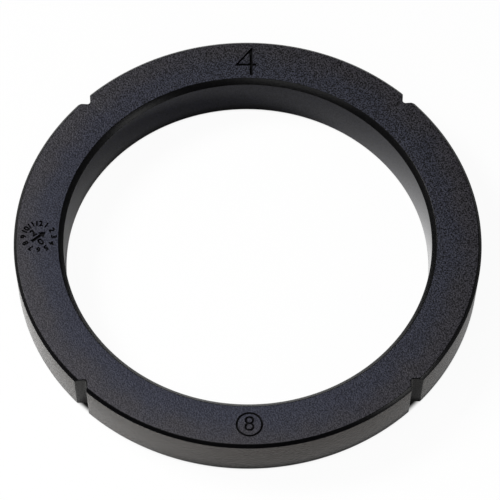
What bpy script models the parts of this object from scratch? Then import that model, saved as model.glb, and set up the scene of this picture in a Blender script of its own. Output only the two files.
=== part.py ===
"""Group head gasket: one moulded rubber ring that seals a coffee machine's group against its filter holder.

The ring lies on its lower face, centred on Z. Its section is turned about Z, and V notches with
rounded roots are cut down its outer wall. Sizes are in metres, angles in radians.
"""

import math

import bmesh
import bpy

# Sizes of the ring
OUTER_DIAMETER = 0.0730  # at the rim, just under its chamfer
RING_WIDTH = 0.00775  # from the rim in to the bore's mouth, just under its chamfer
HEIGHT = 0.0080
WALL_LEAN = math.radians(2.2)  # mould draft: both walls lean in towards the axis on their way down
RIM_CHAMFER = 0.00047  # upper outer edge, at 45 degrees
BORE_CHAMFER = 0.00077  # upper inner edge, at 45 degrees
FOOT_BREAK = 0.00020  # both lower edges, at 45 degrees

# Sizes of the notches, which follow the lean of the outer wall
NOTCH_COUNT = 4
NOTCH_DEPTH = 0.00120  # from the wall in to the root
NOTCH_ANGLE = math.radians(82)  # between the two flanks
NOTCH_ROOT_RADIUS = 0.00050
FIRST_NOTCH = math.radians(45)  # turned from +X

# How finely round shapes are divided, and how far a cutter runs past what it cuts
RING_STEPS = 240
ROOT_STEPS = 7
CUTTER_MARGIN = 0.001
SHARP_ANGLE = math.radians(30)

RUBBER_COLOUR = (0.030, 0.031, 0.035, 1)
RUBBER_ROUGHNESS = 0.55


def clear_scene():
    for obj in list(bpy.data.objects):
        bpy.data.objects.remove(obj)


def rubber():
    material = bpy.data.materials.new("black_rubber")
    material.use_nodes = True
    shader = material.node_tree.nodes["Principled BSDF"]
    shader.inputs["Base Color"].default_value = RUBBER_COLOUR
    shader.inputs["Roughness"].default_value = RUBBER_ROUGHNESS
    shader.inputs["Metallic"].default_value = 0
    return material


def new_object(name, shape):
    """An object that holds the bmesh, which is freed."""
    mesh = bpy.data.meshes.new(name)
    shape.to_mesh(mesh)
    shape.free()
    obj = bpy.data.objects.new(name, mesh)
    bpy.context.collection.objects.link(obj)
    return obj


def outer_radius(height):
    """Radius of the outer wall at a height over the lower face."""
    return OUTER_DIAMETER / 2 - (HEIGHT - RIM_CHAMFER - height) * math.tan(WALL_LEAN)


def bore_radius(height):
    mouth_radius = OUTER_DIAMETER / 2 - RING_WIDTH
    return mouth_radius - (HEIGHT - BORE_CHAMFER - height) * math.tan(WALL_LEAN)


def ring_section():
    """Corners of the section as (radius, height), from the bore's foot outwards and round."""
    rim_height = HEIGHT - RIM_CHAMFER
    mouth_height = HEIGHT - BORE_CHAMFER
    return [
        (bore_radius(FOOT_BREAK) + FOOT_BREAK, 0),
        (outer_radius(FOOT_BREAK) - FOOT_BREAK, 0),
        (outer_radius(FOOT_BREAK), FOOT_BREAK),
        (outer_radius(rim_height), rim_height),
        (outer_radius(rim_height) - RIM_CHAMFER, HEIGHT),
        (bore_radius(mouth_height) + BORE_CHAMFER, HEIGHT),
        (bore_radius(mouth_height), mouth_height),
        (bore_radius(FOOT_BREAK), FOOT_BREAK),
    ]


def turned(section):
    """The section's outline spun once round Z into a closed ring."""
    shape = bmesh.new()
    corners = [shape.verts.new((radius, 0, height)) for radius, height in section]
    outline = [shape.edges.new(pair) for pair in zip(corners, corners[1:] + corners[:1])]
    bmesh.ops.spin(
        shape,
        geom=corners + outline,
        cent=(0, 0, 0),
        axis=(0, 0, 1),
        angle=2 * math.pi,
        steps=RING_STEPS,
        use_merge=True,
    )
    bmesh.ops.recalc_face_normals(shape, faces=shape.faces)
    return shape


def notch_outline():
    """Plan of a notch that opens towards +X, with the wall at x = 0: two flanks and a rounded root."""
    half_angle = NOTCH_ANGLE / 2
    root_centre = NOTCH_ROOT_RADIUS - NOTCH_DEPTH
    root_arc = math.pi - NOTCH_ANGLE
    root = []
    for step in range(ROOT_STEPS + 1):
        turn = math.pi / 2 + half_angle + root_arc * step / ROOT_STEPS
        root.append(
            (root_centre + NOTCH_ROOT_RADIUS * math.cos(turn), NOTCH_ROOT_RADIUS * math.sin(turn))
        )
    flank_x, flank_y = root[0]
    mouth_x = CUTTER_MARGIN
    mouth_y = flank_y + (mouth_x - flank_x) * math.tan(half_angle)
    return [(mouth_x, mouth_y), *root, (mouth_x, -mouth_y)]


def notch_prism():
    """The notch's outline drawn up along the leaning wall, past both faces of the ring."""
    low = -CUTTER_MARGIN
    high = HEIGHT + CUTTER_MARGIN
    shape = bmesh.new()
    base = shape.faces.new(
        [shape.verts.new((outer_radius(low) + x, y, low)) for x, y in notch_outline()]
    )
    top = bmesh.ops.extrude_face_region(shape, geom=[base])["geom"]
    top_corners = [part for part in top if isinstance(part, bmesh.types.BMVert)]
    along_wall = (outer_radius(high) - outer_radius(low), 0, high - low)
    bmesh.ops.translate(shape, verts=top_corners, vec=along_wall)
    bmesh.ops.recalc_face_normals(shape, faces=shape.faces)
    return shape


def notch_cutters():
    """One cutter for each notch, all with the same mesh, turned evenly about Z."""
    first = new_object("notch_cutter_1", notch_prism())
    cutters = [first]
    for number in range(2, NOTCH_COUNT + 1):
        copy = bpy.data.objects.new(f"notch_cutter_{number}", first.data)
        bpy.context.collection.objects.link(copy)
        cutters.append(copy)
    for index, cutter in enumerate(cutters):
        cutter.rotation_euler.z = FIRST_NOTCH + index * 2 * math.pi / NOTCH_COUNT
        cutter.hide_render = True
        cutter.display_type = "WIRE"
    return cutters


def cut(obj, cutters):
    """Cuts each cutter out of the object, and keeps the result as its mesh."""
    for cutter in cutters:
        modifier = obj.modifiers.new(cutter.name, "BOOLEAN")
        modifier.operation = "DIFFERENCE"
        modifier.solver = "EXACT"
        modifier.object = cutter
    evaluated = obj.evaluated_get(bpy.context.evaluated_depsgraph_get())
    whole = obj.data
    obj.data = bpy.data.meshes.new_from_object(evaluated)
    obj.modifiers.clear()
    bpy.data.meshes.remove(whole)


def gasket_ring():
    ring = new_object("gasket_ring", turned(ring_section()))
    ring.data.materials.append(rubber())
    cut(ring, notch_cutters())
    ring.data.shade_smooth()
    ring.data.set_sharp_from_angle(angle=SHARP_ANGLE)
    return ring


def main():
    clear_scene()
    gasket_ring()


main()
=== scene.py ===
"""Looks of the group head gasket: a finely divided rubber ring, a pale floor and studio light.

Sizes are in metres, angles in radians.
"""

import math
from collections import namedtuple

import bmesh
import bpy
from mathutils import Matrix, Vector

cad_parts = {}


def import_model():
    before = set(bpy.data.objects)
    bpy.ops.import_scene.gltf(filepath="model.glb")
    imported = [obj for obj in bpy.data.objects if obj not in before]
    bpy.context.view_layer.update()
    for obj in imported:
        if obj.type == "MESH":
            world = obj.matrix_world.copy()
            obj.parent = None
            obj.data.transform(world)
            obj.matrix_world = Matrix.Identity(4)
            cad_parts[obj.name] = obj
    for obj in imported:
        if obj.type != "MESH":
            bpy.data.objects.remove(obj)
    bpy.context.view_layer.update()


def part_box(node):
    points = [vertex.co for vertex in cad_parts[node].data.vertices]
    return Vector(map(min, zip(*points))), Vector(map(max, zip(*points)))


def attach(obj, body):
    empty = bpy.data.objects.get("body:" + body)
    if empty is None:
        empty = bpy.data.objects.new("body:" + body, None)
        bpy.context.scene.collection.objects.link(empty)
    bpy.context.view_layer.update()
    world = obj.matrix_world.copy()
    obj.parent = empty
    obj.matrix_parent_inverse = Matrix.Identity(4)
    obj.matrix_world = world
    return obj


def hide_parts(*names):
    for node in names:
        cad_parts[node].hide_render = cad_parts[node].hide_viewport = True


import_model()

NODE = "gasket_ring"
BODY = "root"

# Sizes of the ring, the same as the solid's
low_corner, high_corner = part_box(NODE)
RIM_RADIUS = (high_corner.x - low_corner.x) / 2
HEIGHT = high_corner.z
RING_WIDTH = 0.00775
WALL_LEAN = math.radians(2.2)
RIM_CHAMFER = 0.00047
BORE_CHAMFER = 0.00077
FOOT_BREAK = 0.00020
NOTCH_COUNT = 4
NOTCH_DEPTH = 0.00120
NOTCH_ANGLE = math.radians(82)
NOTCH_ROOT_RADIUS = 0.00050
FIRST_NOTCH = math.radians(45)

# The small roundings that the moulding has on its edges
EDGE_RADIUS = 0.00012
NOTCH_MOUTH_RADIUS = 0.00025
SIDE_SHARE = 0.45  # the most of a side that a rounding takes
NOTCH_EDGE = 0.00014  # the break that is left of the rim's chamfer inside a notch

# How finely the ring is divided
PLAIN_STEP = math.radians(0.4)
EDGE_STEPS = 3
FLANK_STEPS = 6
ROOT_STEPS = 14
CIRCLE_STEPS = 48
NUMERAL_STEPS = 4  # on each curved piece of a numeral's outline
SPREAD_STEPS = 4  # copies that widen a numeral's strokes
SHARP_ANGLE = math.radians(28)

# Marks moulded into the upper face, each midway between two notches
MARK_DEPTH = 0.00030
MARK_RADIUS = 0.0326  # from the ring's axis to a mark's centre
NUMERAL_RADIUS = 0.0323
NUMERAL_HEIGHT = 0.0052
NUMERAL_WEIGHT = -0.018  # share of its size by which its outline grows or shrinks
DIAL_PLACE = math.radians(179.1)  # turned from +X round the ring
DIAL_MONTHS = 12
DIAL_MONTH_HEIGHT = 0.00102
DIAL_YEAR_HEIGHT = 0.00128
DIAL_YEAR_OFFSET = (-0.0003, 0.00098)  # along and beside the pointer
DIAL_SPREAD = 0.00008  # how far the strokes of a dial's numerals grow to each side
DIAL_RADIUS = 0.00232
DIAL_POINTER_LENGTH = 0.0028
DIAL_POINTER_HALF_WIDTH = 0.00025
DIAL_BARB_LENGTH = 0.0010
DIAL_BARB_HALF_WIDTH = 0.00064
DIAL_POINTER_TURN = math.radians(38)
FRAME_RADIUS = 0.0021
FRAME_STROKE = 0.00032
FRAMED_NUMERAL_HEIGHT = 0.0025
DIGIT_HEIGHT = 0.691  # for a text size of 1
MERGE_DISTANCE = 1e-7

# Camera: the photograph's view
CAMERA_TURN = math.radians(-1.0)
CAMERA_ELEVATION = math.radians(60.43)
CAMERA_DISTANCE = 0.6711
CAMERA_PITCH = math.radians(0.187)  # off the ring's centre, as are the next two
CAMERA_YAW = math.radians(-0.034)
CAMERA_ROLL = math.radians(0.640)
CAMERA_LENS = 306.7  # for a sensor 36 mm wide
CAMERA_CLIP = (0.01, 20)

# Finishes of the moulding. Relief and speckle say how strongly the grain shows in shape and in colour,
# and foot is the share of a wall's brightness that is left where it meets the floor, under painted shade.
RUBBER_IOR = 1.5
Finish = namedtuple("Finish", "colour outer_colour gloss_colour roughness specular relief speckle foot")
FINISHES = {
    "face": Finish(
        colour=(0.0185, 0.0200, 0.0325),
        outer_colour=(0.0240, 0.0225, 0.0280),
        gloss_colour=(1.0, 1.0, 1.0),
        roughness=0.60,
        specular=0.30,
        relief=1.0,
        speckle=0.58,
        foot=1.0,
    ),
    # Near black: painted shade on the chamfers and roundings, which are also smoother than the face
    "edge": Finish(
        colour=(0.0012, 0.0012, 0.0016),
        outer_colour=(0.0012, 0.0012, 0.0016),
        gloss_colour=(1.0, 1.0, 1.0),
        roughness=0.30,
        specular=0.15,
        relief=0.1,
        speckle=0.2,
        foot=1.0,
    ),
    "wall": Finish(
        colour=(0.0165, 0.0110, 0.0078),
        outer_colour=(0.0165, 0.0110, 0.0078),
        gloss_colour=(1.0, 0.95, 0.91),
        roughness=0.20,
        specular=0.36,
        relief=0.8,
        speckle=0.7,
        foot=0.08,
    ),
    # Darker and duller than the wall: painted shade in the notches
    "notch": Finish(
        colour=(0.0080, 0.0070, 0.0070),
        outer_colour=(0.0080, 0.0070, 0.0070),
        gloss_colour=(1.0, 1.0, 1.0),
        roughness=0.30,
        specular=0.12,
        relief=0.3,
        speckle=0.4,
        foot=0.1,
    ),
    # Darker and duller than the outer wall: painted shade inside the ring, on a smoother finish
    "bore": Finish(
        colour=(0.0020, 0.0020, 0.0070),
        outer_colour=(0.0020, 0.0020, 0.0070),
        gloss_colour=(0.92, 0.92, 1.0),
        roughness=0.10,
        specular=0.18,
        relief=0.05,
        speckle=0.3,
        foot=0.15,
    ),
    # Near black: painted shade in the recessed marks
    "mark": Finish(
        colour=(0.0015, 0.0015, 0.0020),
        outer_colour=(0.0015, 0.0015, 0.0020),
        gloss_colour=(1.0, 1.0, 1.0),
        roughness=0.60,
        specular=0.10,
        relief=0.0,
        speckle=0.0,
        foot=1.0,
    ),
}
FINE_GRAIN = 0.00023  # size across of one grain
FINE_RANGE = (0.2, 0.8)  # of the noise, where the grain goes from darkest to palest
MOTTLE = 0.0005
MOTTLE_RANGE = (0.3, 0.7)
MOTTLE_SHARE = 0.125  # of the fine grain's strength
GLOSS_SHARE = 0.6  # of the grain's strength, in the gloss
CLOUD = 0.005
SOFT_NOISE_DETAIL = 2.0  # finer layers in the mottle and the cloud
TINT_RANGE = (0.7, 1.5)  # of the way out to the rim plus the cloud, where the outer colour sets in
GRAIN_RELIEF = 0.00008
PAINTED_FOOT_SHADE_HEIGHT = 0.0023  # up to which the walls are painted darker towards the floor, as shade
PAINTED_FOOT_SHADE_DIRECTION = (0.45, -0.893, 0)  # across the ring, to where that painted shade is darkest
PAINTED_FOOT_SHADE_RANGE = (0.5, 0.9)  # of the way round to there, from where the painted shade starts to where it is full
PAINTED_LIGHT_DIRECTION = (-0.643, -0.766, 0)  # the way across the ring towards which painted light makes the rubber paler
PAINTED_LIGHT_SHARES = (0.75, 1.14)
SPECKLE_SHARES = (1.30, 0.68)  # how strong the speckle is from one side to the other in that direction, as painted light on the grain

# The finish of each side of the section, in the order of its corners
SIDE_FINISHES = ("face", "edge", "wall", "edge", "face", "edge", "bore", "edge")
NOTCH_SIDE_FINISHES = ("face", "edge", "notch", "edge", "face", "edge", "bore", "edge")

# Floor, light tent and soft boxes
FLOOR_SIZE = 4.0
FLOOR_COLOUR = (0.90, 0.90, 0.89, 1)
PAINTED_SHADOW_UNDER_RING = (0.03, 0.03, 0.03, 1)  # a painted shadow, seen only in the notches
FLOOR_GAP = 0.00002  # under the ring, so that the two surfaces don't coincide
FLOOR_WHITE_SEEN = 0.95  # share of plain white in what the camera sees of the floor
FLOOR_WHITE_UNDER_RING = 0.0  # the same share under the ring, which leaves its shadow dark
SHADOW_RANGE = (-0.0008, 0.0002)  # from the edge of the ring's foot outwards, where the shadow fades
FLOOR_WHITE_MIRRORED = 0.30  # share of plain white in what gloss shows of the floor outside the ring
PAINTED_LIGHT_MIRRORED_INSIDE = 1.0  # painted light: the same share at the bore's right, where the key light falls
PAINTED_LIGHT_INSIDE_RANGE = (0.35, 0.90)  # of the bore's radius, from the left, where that painted light sets in
SKY_WHITE_MIRRORED = 0.03  # share of plain white in what gloss shows of the surroundings
TENT_TOP = 0.05
TENT_TOP_EDGE = 0.45  # how far a direction leans up where the tent's top starts
TENT_SIDES = 0.18  # left and right of the ring, low down
TENT_SIDES_EDGE = 0.7
SoftBox = namedtuple("SoftBox", "name azimuth elevation distance side watts")
SOFT_BOXES = (
    SoftBox("key_left", 155, 45, 0.45, 0.16, 1.95),
    SoftBox("fill_front", 240, 60, 0.12, 0.08, 0.052),
    SoftBox("fill_right", 330, 25, 0.16, 0.05, 0.042),
)
WHITE = (1, 1, 1, 1)

# The colour sockets of a Mix node, which share their names with sockets of other kinds
MIX_FIRST_COLOUR = 6
MIX_SECOND_COLOUR = 7
MIX_RESULT_COLOUR = 2


def new_object(name, mesh):
    obj = bpy.data.objects.new(name, mesh)
    bpy.context.scene.collection.objects.link(obj)
    return obj


def fillet(before, corner, after, radius, steps):
    """Points of the arc that rounds a corner, no longer than its sides allow."""
    to_before = (before - corner).normalized()
    to_after = (after - corner).normalized()
    half_angle = to_before.angle(to_after) / 2
    room = SIDE_SHARE * min((before - corner).length, (after - corner).length)
    reach = min(radius / math.tan(half_angle), room)
    radius = reach * math.tan(half_angle)
    centre = corner + (to_before + to_after).normalized() * radius / math.sin(half_angle)
    start = (corner + to_before * reach - centre).normalized()
    end = (corner + to_after * reach - centre).normalized()
    return [centre + radius * start.slerp(end, step / steps) for step in range(steps + 1)]


def outer_radius(height):
    return RIM_RADIUS - (HEIGHT - RIM_CHAMFER - height) * math.tan(WALL_LEAN)


def bore_radius(height):
    return RIM_RADIUS - RING_WIDTH - (HEIGHT - BORE_CHAMFER - height) * math.tan(WALL_LEAN)


def section(depth):
    """The section where the outer wall is cut in by a depth, as (radius, height) with rounded corners."""
    rim = max(RIM_CHAMFER - depth, NOTCH_EDGE)
    rim_height = HEIGHT - rim
    mouth_height = HEIGHT - BORE_CHAMFER
    corners = [
        (bore_radius(FOOT_BREAK) + FOOT_BREAK, 0),
        (outer_radius(FOOT_BREAK) - depth - FOOT_BREAK, 0),
        (outer_radius(FOOT_BREAK) - depth, FOOT_BREAK),
        (outer_radius(rim_height) - depth, rim_height),
        (outer_radius(rim_height) - depth - rim, HEIGHT),
        (bore_radius(mouth_height) + BORE_CHAMFER, HEIGHT),
        (bore_radius(mouth_height), mouth_height),
        (bore_radius(FOOT_BREAK), FOOT_BREAK),
    ]
    corners = [Vector(corner) for corner in corners]
    points = []
    for index, corner in enumerate(corners):
        following = corners[(index + 1) % len(corners)]
        points += fillet(corners[index - 1], corner, following, EDGE_RADIUS, EDGE_STEPS)
    return points


def strip_finishes(in_notch):
    """The finish of each strip of faces round the section: those of a rounded corner, then its side."""
    finishes = []
    for side in NOTCH_SIDE_FINISHES if in_notch else SIDE_FINISHES:
        finishes += ["edge"] * EDGE_STEPS + [side]
    return finishes


def notch_plan():
    """A notch's plan unrolled along the wall: (distance along the wall, depth)."""
    half_angle = NOTCH_ANGLE / 2
    apex_depth = NOTCH_DEPTH + NOTCH_ROOT_RADIUS * (1 / math.sin(half_angle) - 1)
    half_mouth = apex_depth * math.tan(half_angle)
    left = Vector((-half_mouth, 0))
    apex = Vector((0, apex_depth))
    right = Vector((half_mouth, 0))
    beyond = Vector((half_mouth, 0))
    mouth_left = fillet(left - beyond, left, apex, NOTCH_MOUTH_RADIUS, EDGE_STEPS)
    root = fillet(left, apex, right, NOTCH_ROOT_RADIUS, ROOT_STEPS)
    mouth_right = fillet(apex, right, right + beyond, NOTCH_MOUTH_RADIUS, EDGE_STEPS)
    flank_in = [mouth_left[-1].lerp(root[0], step / FLANK_STEPS) for step in range(1, FLANK_STEPS)]
    flank_out = [root[-1].lerp(mouth_right[0], step / FLANK_STEPS) for step in range(1, FLANK_STEPS)]
    return mouth_left + flank_in + root + flank_out + mouth_right


def columns():
    """Where the sections stand round the ring: (angle, depth of the notch there)."""
    spacing = 2 * math.pi / NOTCH_COUNT
    notch = [(along / RIM_RADIUS, max(depth, 0)) for along, depth in notch_plan()]
    plain_start = notch[-1][0]
    plain_span = spacing - 2 * plain_start
    plain_steps = round(plain_span / PLAIN_STEP)
    around = []
    for index in range(NOTCH_COUNT):
        centre = FIRST_NOTCH + index * spacing
        around += [(centre + angle, depth) for angle, depth in notch]
        around += [
            (centre + plain_start + plain_span * step / plain_steps, 0)
            for step in range(1, plain_steps)
        ]
    return around


def ring_mesh():
    shape = bmesh.new()
    rows = []
    around = columns()
    for angle, depth in around:
        across = Vector((math.cos(angle), math.sin(angle), 0))
        rows.append(
            [shape.verts.new(across * radius + Vector((0, 0, height))) for radius, height in section(depth)]
        )
    depths = [depth for angle, depth in around]
    for place, (row, following) in enumerate(zip(rows, rows[1:] + rows[:1])):
        in_notch = depths[place] > 0 or depths[(place + 1) % len(depths)] > 0
        for index, finish in enumerate(strip_finishes(in_notch)):
            beyond = (index + 1) % len(row)
            face = shape.faces.new([row[index], row[beyond], following[beyond], following[index]])
            face.material_index = list(FINISHES).index(finish)
    bmesh.ops.recalc_face_normals(shape, faces=shape.faces)
    mesh = bpy.data.meshes.new("rubber_ring")
    shape.to_mesh(mesh)
    shape.free()
    return mesh


def cutter_from(curve, centre, turn):
    """A flat text or outline made into a solid that reaches a mark's depth under the upper face."""
    curve.extrude = MARK_DEPTH
    curve.fill_mode = "BOTH"
    obj = new_object(curve.name, curve)
    bpy.context.view_layer.update()
    mesh = bpy.data.meshes.new_from_object(obj.evaluated_get(bpy.context.evaluated_depsgraph_get()))
    bpy.data.objects.remove(obj)
    mesh.transform(Matrix.Translation((*centre, HEIGHT)) @ Matrix.Rotation(turn, 4, "Z"))
    return mesh


def numeral(text, height, centre, turn=0, weight=0):
    """A plain numeral, thickened or thinned by a weight that is a share of its size."""
    curve = bpy.data.curves.new("numeral_" + text, "FONT")
    curve.body = text
    curve.size = height / (DIGIT_HEIGHT + 2 * weight)
    curve.offset = weight * curve.size
    curve.align_x = "CENTER"
    curve.align_y = "CENTER"
    curve.resolution_u = NUMERAL_STEPS
    return cutter_from(curve, centre, turn)


def outline(name, rings, centre, turn=0):
    """A filled flat outline; a ring inside another is a hole."""
    curve = bpy.data.curves.new(name, "CURVE")
    curve.dimensions = "2D"
    for ring in rings:
        spline = curve.splines.new("POLY")
        spline.points.add(len(ring) - 1)
        for point, (x, y) in zip(spline.points, ring):
            point.co = (x, y, 0, 1)
        spline.use_cyclic_u = True
    return cutter_from(curve, centre, turn)


def circle(radius):
    turns = [2 * math.pi * step / CIRCLE_STEPS for step in range(CIRCLE_STEPS)]
    return [(radius * math.cos(turn), radius * math.sin(turn)) for turn in turns]


def arrow():
    """A dial's pointer along +X."""
    half = DIAL_POINTER_LENGTH / 2
    neck = half - DIAL_BARB_LENGTH
    shaft = DIAL_POINTER_HALF_WIDTH
    barb = DIAL_BARB_HALF_WIDTH
    tip = [(neck, -barb), (half, 0), (neck, barb)]
    return [(-half, -shaft), (neck, -shaft), *tip, (neck, shaft), (-half, shaft)]


def bold_numeral(text, height, centre, turn):
    """A numeral whose strokes are widened by overlapping copies of it, shifted to four sides."""
    copies = []
    for step in range(SPREAD_STEPS):
        shift = Matrix.Rotation(2 * math.pi * step / SPREAD_STEPS, 2) @ Vector((DIAL_SPREAD, 0))
        copies.append(numeral(text, height - 2 * DIAL_SPREAD, centre + shift, turn))
    return copies


def date_dial(centre):
    """A mould's date insert: months round a pointer, with a plain numeral on each side of it."""
    cutters = [outline("pointer", [arrow()], centre, DIAL_POINTER_TURN)]
    for month in range(1, DIAL_MONTHS + 1):
        turn = -2 * math.pi * month / DIAL_MONTHS
        place = Matrix.Rotation(turn, 2) @ Vector((0, DIAL_RADIUS))
        cutters += bold_numeral(str(month), DIAL_MONTH_HEIGHT, centre + place, turn)
    along, beside = DIAL_YEAR_OFFSET
    for text, side in (("2", beside), ("0", -beside)):
        place = Matrix.Rotation(DIAL_POINTER_TURN, 2) @ Vector((along, side))
        cutters += bold_numeral(text, DIAL_YEAR_HEIGHT, centre + place, DIAL_POINTER_TURN)
    return cutters


def framed_numeral(centre):
    """A cavity number in a round frame."""
    frame_rings = [circle(FRAME_RADIUS), circle(FRAME_RADIUS - FRAME_STROKE)]
    return [
        outline("numeral_frame", frame_rings, centre),
        numeral("8", FRAMED_NUMERAL_HEIGHT, centre),
    ]


def marks_cutter():
    """All the marks' cutters in one hidden object."""
    back = Vector((0, NUMERAL_RADIUS))
    left = Matrix.Rotation(DIAL_PLACE, 2) @ Vector((MARK_RADIUS, 0))
    front = Vector((0, -MARK_RADIUS))
    meshes = [numeral("4", NUMERAL_HEIGHT, back, weight=NUMERAL_WEIGHT)]
    meshes += date_dial(left)
    meshes += framed_numeral(front)
    shape = bmesh.new()
    for mesh in meshes:
        shape.from_mesh(mesh)
        bpy.data.meshes.remove(mesh)
    bmesh.ops.remove_doubles(shape, verts=shape.verts, dist=MERGE_DISTANCE)
    bmesh.ops.recalc_face_normals(shape, faces=shape.faces)
    mesh = bpy.data.meshes.new("marks_cutter")
    shape.to_mesh(mesh)
    shape.free()
    cutter = new_object("marks_cutter", mesh)
    cutter.hide_render = True
    return cutter


def cut_marks(ring):
    """Cuts the marks into the upper face, and clears the slivers that this leaves."""
    cutter = marks_cutter()
    cutter.data.materials.append(ring.data.materials[list(FINISHES).index("mark")])
    modifier = ring.modifiers.new("marks", "BOOLEAN")
    modifier.operation = "DIFFERENCE"
    modifier.solver = "EXACT"
    modifier.use_self = True
    modifier.material_mode = "TRANSFER"
    modifier.object = cutter
    bpy.context.view_layer.update()
    evaluated = ring.evaluated_get(bpy.context.evaluated_depsgraph_get())
    uncut = ring.data
    ring.data = bpy.data.meshes.new_from_object(evaluated)
    ring.modifiers.clear()
    bpy.data.meshes.remove(uncut)
    bpy.data.objects.remove(cutter)
    shape = bmesh.new()
    shape.from_mesh(ring.data)
    bmesh.ops.remove_doubles(shape, verts=shape.verts, dist=MERGE_DISTANCE)
    bmesh.ops.dissolve_degenerate(shape, edges=shape.edges, dist=MERGE_DISTANCE)
    shape.to_mesh(ring.data)
    shape.free()


class Nodes:
    """Adds and links shader nodes with few words."""

    def __init__(self, tree):
        self.tree = tree

    def add(self, kind, values=None, **settings):
        node = self.tree.nodes.new(kind)
        for name, value in settings.items():
            setattr(node, name, value)
        for name, value in (values or {}).items():
            if isinstance(value, bpy.types.NodeSocket):
                self.tree.links.new(value, node.inputs[name])
            else:
                node.inputs[name].default_value = value
        return node

    def math(self, operation, first, second=0.0):
        return self.add("ShaderNodeMath", {0: first, 1: second}, operation=operation).outputs[0]

    def blend(self, factor, first, second):
        """A colour between two others."""
        values = {"Factor": factor, MIX_FIRST_COLOUR: first, MIX_SECOND_COLOUR: second}
        return self.add("ShaderNodeMix", values, data_type="RGBA").outputs[MIX_RESULT_COLOUR]

    def ramp(self, value, low, high, to_low=0.0, to_high=1.0):
        """A value carried smoothly from one range to another, and held at its ends."""
        node = self.add(
            "ShaderNodeMapRange",
            {"Value": value, "From Min": low, "From Max": high, "To Min": to_low, "To Max": to_high},
            interpolation_type="SMOOTHSTEP",
        )
        return node.outputs[0]

    def across(self, place):
        """The way from the ring's axis out to a place."""
        return self.add("ShaderNodeVectorMath", {0: place, 1: (1, 1, 0)}, operation="MULTIPLY").outputs[0]

    def distance_from_axis(self, place):
        node = self.add("ShaderNodeVectorMath", {0: self.across(place)}, operation="LENGTH")
        return node.outputs["Value"]

    def reach(self, place, direction):
        """How far a place lies in a direction."""
        node = self.add("ShaderNodeVectorMath", {0: place, 1: direction}, operation="DOT_PRODUCT")
        return node.outputs["Value"]

    def noise(self, place, grain, detail=SOFT_NOISE_DETAIL):
        """Noise whose grains are about a given size across."""
        node = self.add("ShaderNodeTexNoise", {"Vector": place, "Scale": 1 / grain, "Detail": detail})
        return node.outputs["Fac"]


def tint(nodes, place, finish):
    """The rubber's colour, which changes towards the ring's rim."""
    radius = nodes.distance_from_axis(place)
    outward = nodes.ramp(radius, RIM_RADIUS - RING_WIDTH, RIM_RADIUS)
    cloud = nodes.noise(place, CLOUD)
    outer_share = nodes.ramp(nodes.math("ADD", outward, cloud), *TINT_RANGE)
    return nodes.blend(outer_share, (*finish.colour, 1), (*finish.outer_colour, 1))


def speckle(nodes, place, fine, strength):
    """How much paler or darker than the rubber its grains are, which fades across the ring as painted
    light.
    """
    mottle = nodes.noise(place, MOTTLE)
    mottle_strength = MOTTLE_SHARE * strength
    grains = nodes.math(
        "ADD",
        nodes.ramp(fine, *FINE_RANGE, -strength, strength),
        nodes.ramp(mottle, *MOTTLE_RANGE, -mottle_strength, mottle_strength),
    )
    along = nodes.reach(place, PAINTED_LIGHT_DIRECTION)
    return nodes.math("MULTIPLY", grains, nodes.ramp(along, -RIM_RADIUS, RIM_RADIUS, *SPECKLE_SHARES))


def foot_shade(nodes, place, share):
    """Painted shade, as what is left of the brightness: all of it higher up a wall, and a share at its
    foot's darkest.
    """
    outward = nodes.add("ShaderNodeVectorMath", {0: nodes.across(place)}, operation="NORMALIZE")
    facing = nodes.math("ABSOLUTE", nodes.reach(outward.outputs[0], PAINTED_FOOT_SHADE_DIRECTION))
    foot = nodes.ramp(facing, *PAINTED_FOOT_SHADE_RANGE, 1.0, share)
    height = nodes.add("ShaderNodeSeparateXYZ", {"Vector": place}).outputs["Z"]
    return nodes.ramp(height, FOOT_BREAK, PAINTED_FOOT_SHADE_HEIGHT, foot, 1.0)


def rubber(name, finish):
    """Black moulded rubber with a speckled grain."""
    material = bpy.data.materials.new("rubber_" + name)
    material.use_nodes = True
    tree = material.node_tree
    nodes = Nodes(tree)
    shader = tree.nodes["Principled BSDF"]
    place = nodes.add("ShaderNodeTexCoord").outputs["Object"]
    fine = nodes.noise(place, FINE_GRAIN, detail=0.0)
    speckles = speckle(nodes, place, fine, finish.speckle)
    shade = foot_shade(nodes, place, finish.foot)

    # Painted light: the rubber is coloured paler towards the near left, as if lit from there
    along = nodes.reach(place, PAINTED_LIGHT_DIRECTION)
    painted_light = nodes.ramp(along, -RIM_RADIUS, RIM_RADIUS, *PAINTED_LIGHT_SHARES)
    strength = nodes.math("MAXIMUM", nodes.math("ADD", painted_light, speckles), 0.0)
    strength = nodes.math("MULTIPLY", strength, shade)
    shaded = {0: tint(nodes, place, finish), "Scale": strength}
    colour = nodes.add("ShaderNodeVectorMath", shaded, operation="SCALE").outputs[0]
    relief = {"Strength": finish.relief, "Distance": GRAIN_RELIEF, "Height": fine}
    tree.links.new(colour, shader.inputs["Base Color"])
    tree.links.new(nodes.add("ShaderNodeBump", relief).outputs["Normal"], shader.inputs["Normal"])

    # The gloss follows the grain and the painted shade at the walls' foot
    shader.inputs["Specular IOR Level"].default_value = finish.specular
    if finish.speckle > 0 or finish.foot < 1:
        gloss = nodes.math("ADD", nodes.math("MULTIPLY", speckles, GLOSS_SHARE), 1.0)
        gloss = nodes.math("MULTIPLY", nodes.math("MULTIPLY", gloss, shade), finish.specular)
        tree.links.new(gloss, shader.inputs["Specular IOR Level"])
    shader.inputs["Specular Tint"].default_value = (*finish.gloss_colour, 1)
    shader.inputs["Roughness"].default_value = finish.roughness
    shader.inputs["IOR"].default_value = RUBBER_IOR
    return material


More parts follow.
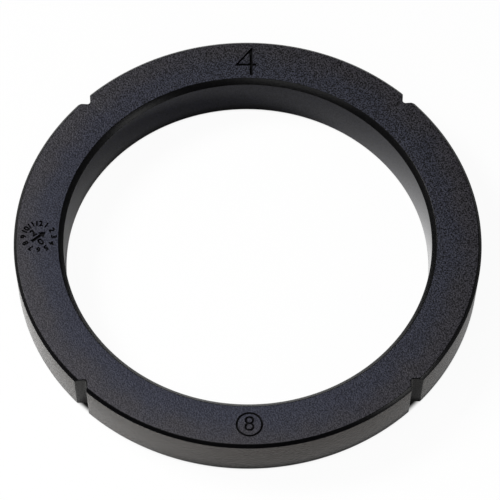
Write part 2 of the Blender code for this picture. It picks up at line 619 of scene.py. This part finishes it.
def gasket():
    ring = new_object("moulded_ring", ring_mesh())
    for name, finish in FINISHES.items():
        ring.data.materials.append(rubber(name, finish))
    cut_marks(ring)
    ring.data.shade_smooth()
    ring.data.set_sharp_from_angle(angle=SHARP_ANGLE)
    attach(ring, BODY)
    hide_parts(NODE)


def off_ring(nodes, radius):
    """How far a place on the floor lies off the edge of the ring's foot, and below 0 under the ring."""
    foot_inside = bore_radius(FOOT_BREAK)
    foot_outside = outer_radius(FOOT_BREAK)
    off_middle = nodes.math("SUBTRACT", radius, (foot_outside + foot_inside) / 2)
    return nodes.math("SUBTRACT", nodes.math("ABSOLUTE", off_middle), (foot_outside - foot_inside) / 2)


def mirrored_white(nodes, place, radius):
    """Share of plain white in what gloss shows of the floor, with a painted light at the bore's right."""
    foot_inside = bore_radius(FOOT_BREAK)
    start, end = [share * foot_inside for share in PAINTED_LIGHT_INSIDE_RANGE]
    rightward = nodes.add("ShaderNodeSeparateXYZ", {"Vector": place}).outputs["X"]
    inside = nodes.ramp(rightward, start, end, 0.0, PAINTED_LIGHT_MIRRORED_INSIDE)
    outside = nodes.math("GREATER_THAN", radius, (outer_radius(FOOT_BREAK) + foot_inside) / 2)
    return nodes.ramp(outside, 0.0, 1.0, inside, FLOOR_WHITE_MIRRORED)


def floor_material():
    """Pale and matt, nearly white to the camera, and painted dark under the ring as shadow."""
    material = bpy.data.materials.new("studio_floor")
    material.use_nodes = True
    nodes = Nodes(material.node_tree)
    material.node_tree.nodes.clear()
    place = nodes.add("ShaderNodeTexCoord").outputs["Object"]
    radius = nodes.distance_from_axis(place)
    off = off_ring(nodes, radius)
    path = nodes.add("ShaderNodeLightPath")
    clearness = nodes.ramp(off, *SHADOW_RANGE, FLOOR_WHITE_UNDER_RING, FLOOR_WHITE_SEEN)
    seen = nodes.math("MULTIPLY", path.outputs["Is Camera Ray"], clearness)
    clear = nodes.math("MAXIMUM", path.outputs["Is Glossy Ray"], path.outputs["Is Transmission Ray"])
    mirrored = nodes.math("MULTIPLY", clear, mirrored_white(nodes, place, radius))
    share = nodes.math("MAXIMUM", seen, mirrored)
    # Painted shadow: the floor's own colour turns dark under the ring
    colour = nodes.blend(nodes.ramp(off, *SHADOW_RANGE), PAINTED_SHADOW_UNDER_RING, FLOOR_COLOUR)
    matt = nodes.add("ShaderNodeBsdfDiffuse", {"Color": colour})
    white = nodes.add("ShaderNodeEmission", {"Color": WHITE, "Strength": 1.0})
    mixed = nodes.add("ShaderNodeMixShader", {0: share, 1: matt.outputs[0], 2: white.outputs[0]})
    nodes.add("ShaderNodeOutputMaterial", {"Surface": mixed.outputs[0]})
    return material


def floor():
    """A pale floor that shows nearly white and keeps the ring's shadow."""
    half = FLOOR_SIZE / 2
    low = -FLOOR_GAP
    mesh = bpy.data.meshes.new("studio_floor")
    corners = [(-half, -half, low), (half, -half, low), (half, half, low), (-half, half, low)]
    mesh.from_pydata(corners, [], [(0, 1, 2, 3)])
    mesh.materials.append(floor_material())
    new_object("studio_floor", mesh)


def world():
    """A light tent: bright overhead, dim near the floor, plain white to the camera."""
    surroundings = bpy.data.worlds.new("light_tent")
    surroundings.use_nodes = True
    nodes = Nodes(surroundings.node_tree)
    surroundings.node_tree.nodes.clear()
    direction = nodes.add("ShaderNodeTexCoord").outputs["Generated"]
    parts = nodes.add("ShaderNodeSeparateXYZ", {"Vector": direction})
    overhead = nodes.ramp(parts.outputs["Z"], TENT_TOP_EDGE, 1.0, 0.0, TENT_TOP)
    sideways = nodes.math("ABSOLUTE", parts.outputs["X"])
    sides = nodes.ramp(sideways, TENT_SIDES_EDGE, 1.0, 0.0, TENT_SIDES)
    strength = nodes.math("ADD", overhead, sides)
    path = nodes.add("ShaderNodeLightPath")
    tent = nodes.add("ShaderNodeBackground", {"Color": WHITE, "Strength": strength})
    white = nodes.add("ShaderNodeBackground", {"Color": WHITE, "Strength": 1.0})
    seen = nodes.math("MAXIMUM", path.outputs["Is Camera Ray"], path.outputs["Is Transmission Ray"])
    mirrored = nodes.math("MULTIPLY", path.outputs["Is Glossy Ray"], SKY_WHITE_MIRRORED)
    share = nodes.math("MAXIMUM", seen, mirrored)
    mixed = nodes.add("ShaderNodeMixShader", {0: share, 1: tent.outputs[0], 2: white.outputs[0]})
    nodes.add("ShaderNodeOutputWorld", {"Surface": mixed.outputs[0]})
    bpy.context.scene.world = surroundings


def soft_box(box):
    """A square lamp that faces the ring. Its azimuth is turned from +X, in degrees."""
    lamp = bpy.data.lights.new(box.name, "AREA")
    lamp.size = box.side
    lamp.energy = box.watts
    obj = new_object(box.name, lamp)
    swing = Matrix.Rotation(math.radians(box.azimuth), 3, "Z")
    lift = Matrix.Rotation(math.radians(-box.elevation), 3, "Y")
    toward = swing @ lift @ Vector((1, 0, 0))
    obj.location = toward * box.distance
    obj.rotation_euler = (-toward).to_track_quat("-Z", "Y").to_euler()


def camera():
    data = bpy.data.cameras.new("photograph_view")
    data.lens = CAMERA_LENS
    data.clip_start, data.clip_end = CAMERA_CLIP
    obj = new_object("photograph_view", data)
    look = Matrix.Rotation(math.pi / 2 - CAMERA_ELEVATION, 4, "X")
    back_off = Matrix.Translation((0, 0, CAMERA_DISTANCE))
    roll = Matrix.Rotation(CAMERA_ROLL, 4, "Z")
    yaw = Matrix.Rotation(CAMERA_YAW, 4, "Y")
    pitch = Matrix.Rotation(CAMERA_PITCH, 4, "X")
    obj.matrix_world = Matrix.Rotation(CAMERA_TURN, 4, "Z") @ look @ back_off @ roll @ yaw @ pitch
    bpy.context.scene.camera = obj


gasket()
floor()
world()
for plan in SOFT_BOXES:
    soft_box(plan)
camera()
bpy.context.scene.view_settings.view_transform = "Standard"
